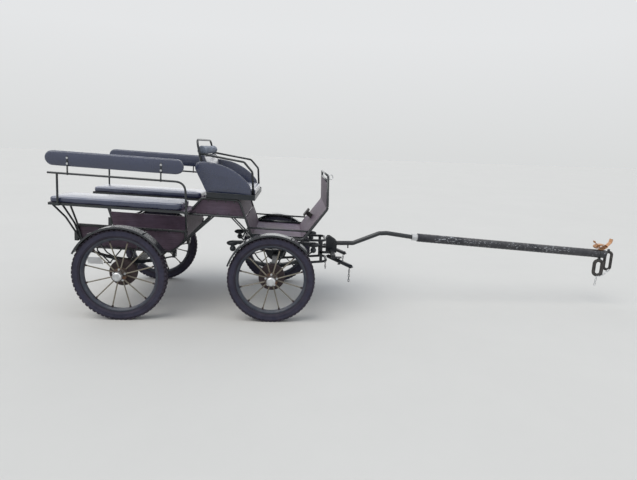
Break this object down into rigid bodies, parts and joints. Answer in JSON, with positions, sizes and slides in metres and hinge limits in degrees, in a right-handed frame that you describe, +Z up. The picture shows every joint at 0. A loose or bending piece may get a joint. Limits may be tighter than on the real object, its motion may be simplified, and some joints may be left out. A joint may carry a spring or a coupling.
{
  "type": "horse drawn wagonette carriage",
  "caption": "Horse drawn wagonette with facing benches, driver's seat and dash, turning forecarriage, spoked wheels and a draught pole.",
  "frame": {"origin": "on the floor, at the middle of the length and width of the whole carriage with its pole", "axes": "+X forward along the pole, +Y to the carriage's left, +Z up"},
  "size_m": [5.811, 1.604, 1.7055],
  "materials": {
    "vinyl": "dark navy black padded vinyl, satin, dusty on top",
    "cover_cloth": "rolled grey blue cloth cover",
    "plywood": "mahogany brown stained plywood, worn and dusty",
    "frame_paint": "black green paint on steel tube, chipped and dusty",
    "fender_paint": "black fender, glossy on its crown",
    "gear_iron": "black paint on forged steel with rust and dust",
    "wheel_paint": "rusty tan spokes in a blue grey rim",
    "drum_rust": "rusty brown brake drum",
    "hub_metal": "dull silver hub cap",
    "tyre": "dusty block-tread tyre",
    "pole_wrap": "black wrap with worn white flecks",
    "bare_metal": "worn bare steel",
    "strap_rubber": "black loops",
    "tan_leather": "tan leather"
  },
  "bodies": {
    "body": {"backrest_left": "vinyl", "backrest_rails": "frame_paint", "backrest_right": "vinyl", "bench_boards": "plywood", "bench_cushion_left": "vinyl", "bench_cushion_right": "vinyl", "bench_posts": "frame_paint", "dash_frame": "frame_paint", "dash_panel": "plywood", "floor_bearers": "frame_paint", "footwell_floor": "plywood", "footwell_sides": "plywood", "rear_axle": "gear_iron", "rear_fenders": "fender_paint", "rear_springs": "gear_iron", "rolled_cover": "cover_cloth", "seat_back": "vinyl", "seat_box": "plywood", "seat_box_frame": "frame_paint", "seat_cushion": "vinyl", "seat_hoop": "frame_paint", "seat_riser": "plywood", "seat_tray": "frame_paint", "seat_wing_left": "vinyl", "seat_wing_right": "vinyl", "toe_board": "plywood", "tub_floor": "plywood", "tub_front": "plywood", "tub_sides": "plywood", "turntable_upper": "gear_iron"},
    "wheel_front_left": {"drum_front_left": "drum_rust", "hub_cap_front_left": "hub_metal", "tyre_front_left": "tyre", "wheel_front_left": "wheel_paint"},
    "wheel_front_right": {"drum_front_right": "drum_rust", "hub_cap_front_right": "hub_metal", "tyre_front_right": "tyre", "wheel_front_right": "wheel_paint"},
    "wheel_rear_left": {"drum_rear_left": "drum_rust", "hub_cap_rear_left": "hub_metal", "tyre_rear_left": "tyre", "wheel_rear_left": "wheel_paint"},
    "wheel_rear_right": {"drum_rear_right": "drum_rust", "hub_cap_rear_right": "hub_metal", "tyre_rear_right": "tyre", "wheel_rear_right": "wheel_paint"},
    "forecarriage": {"forecarriage_frame": "gear_iron", "front_axle": "gear_iron", "front_fenders": "fender_paint", "front_springs": "gear_iron", "splinter_bar": "gear_iron"},
    "pole": {"pole_chain": "bare_metal", "pole_collar": "bare_metal", "pole_head": "frame_paint", "pole_loops": "strap_rubber", "pole_root": "frame_paint", "pole_sleeve": "pole_wrap", "pole_strap": "tan_leather"},
    "swingletree_left": {"swingletree_left": "gear_iron"},
    "swingletree_right": {"swingletree_right": "gear_iron"}
  },
  "joints": [
    {"name": "steer", "type": "hinge", "parent": "body", "child": "forecarriage", "pos_m": [-0.90373, 0, 0.712], "axis": [0, 0, 1], "range_deg": [-35, 35]},
    {"name": "wheel_rear_right_spin", "type": "hinge", "parent": "body", "child": "wheel_rear_right", "pos_m": [-2.29873, -0.7, 0.43], "axis": [0, 1, 0], "continuous": true},
    {"name": "wheel_rear_left_spin", "type": "hinge", "parent": "body", "child": "wheel_rear_left", "pos_m": [-2.29873, 0.7, 0.43], "axis": [0, 1, 0], "continuous": true},
    {"name": "wheel_front_right_spin", "type": "hinge", "parent": "forecarriage", "child": "wheel_front_right", "pos_m": [-0.90373, -0.7, 0.41], "axis": [0, 1, 0], "continuous": true},
    {"name": "wheel_front_left_spin", "type": "hinge", "parent": "forecarriage", "child": "wheel_front_left", "pos_m": [-0.90373, 0.7, 0.41], "axis": [0, 1, 0], "continuous": true},
    {"name": "pole_lift", "type": "hinge", "parent": "forecarriage", "child": "pole", "pos_m": [-0.25673, 0, 0.634], "axis": [0, -1, 0], "range_deg": [0, 55]},
    {"name": "swingletree_right_turn", "type": "hinge", "parent": "forecarriage", "child": "swingletree_right", "pos_m": [-0.22873, -0.3, 0.505], "axis": [0, 0, 1], "range_deg": [-48, 0]},
    {"name": "swingletree_left_turn", "type": "hinge", "parent": "forecarriage", "child": "swingletree_left", "pos_m": [-0.22873, 0.3, 0.505], "axis": [0, 0, 1], "range_deg": [-48, 0]}
  ]
}
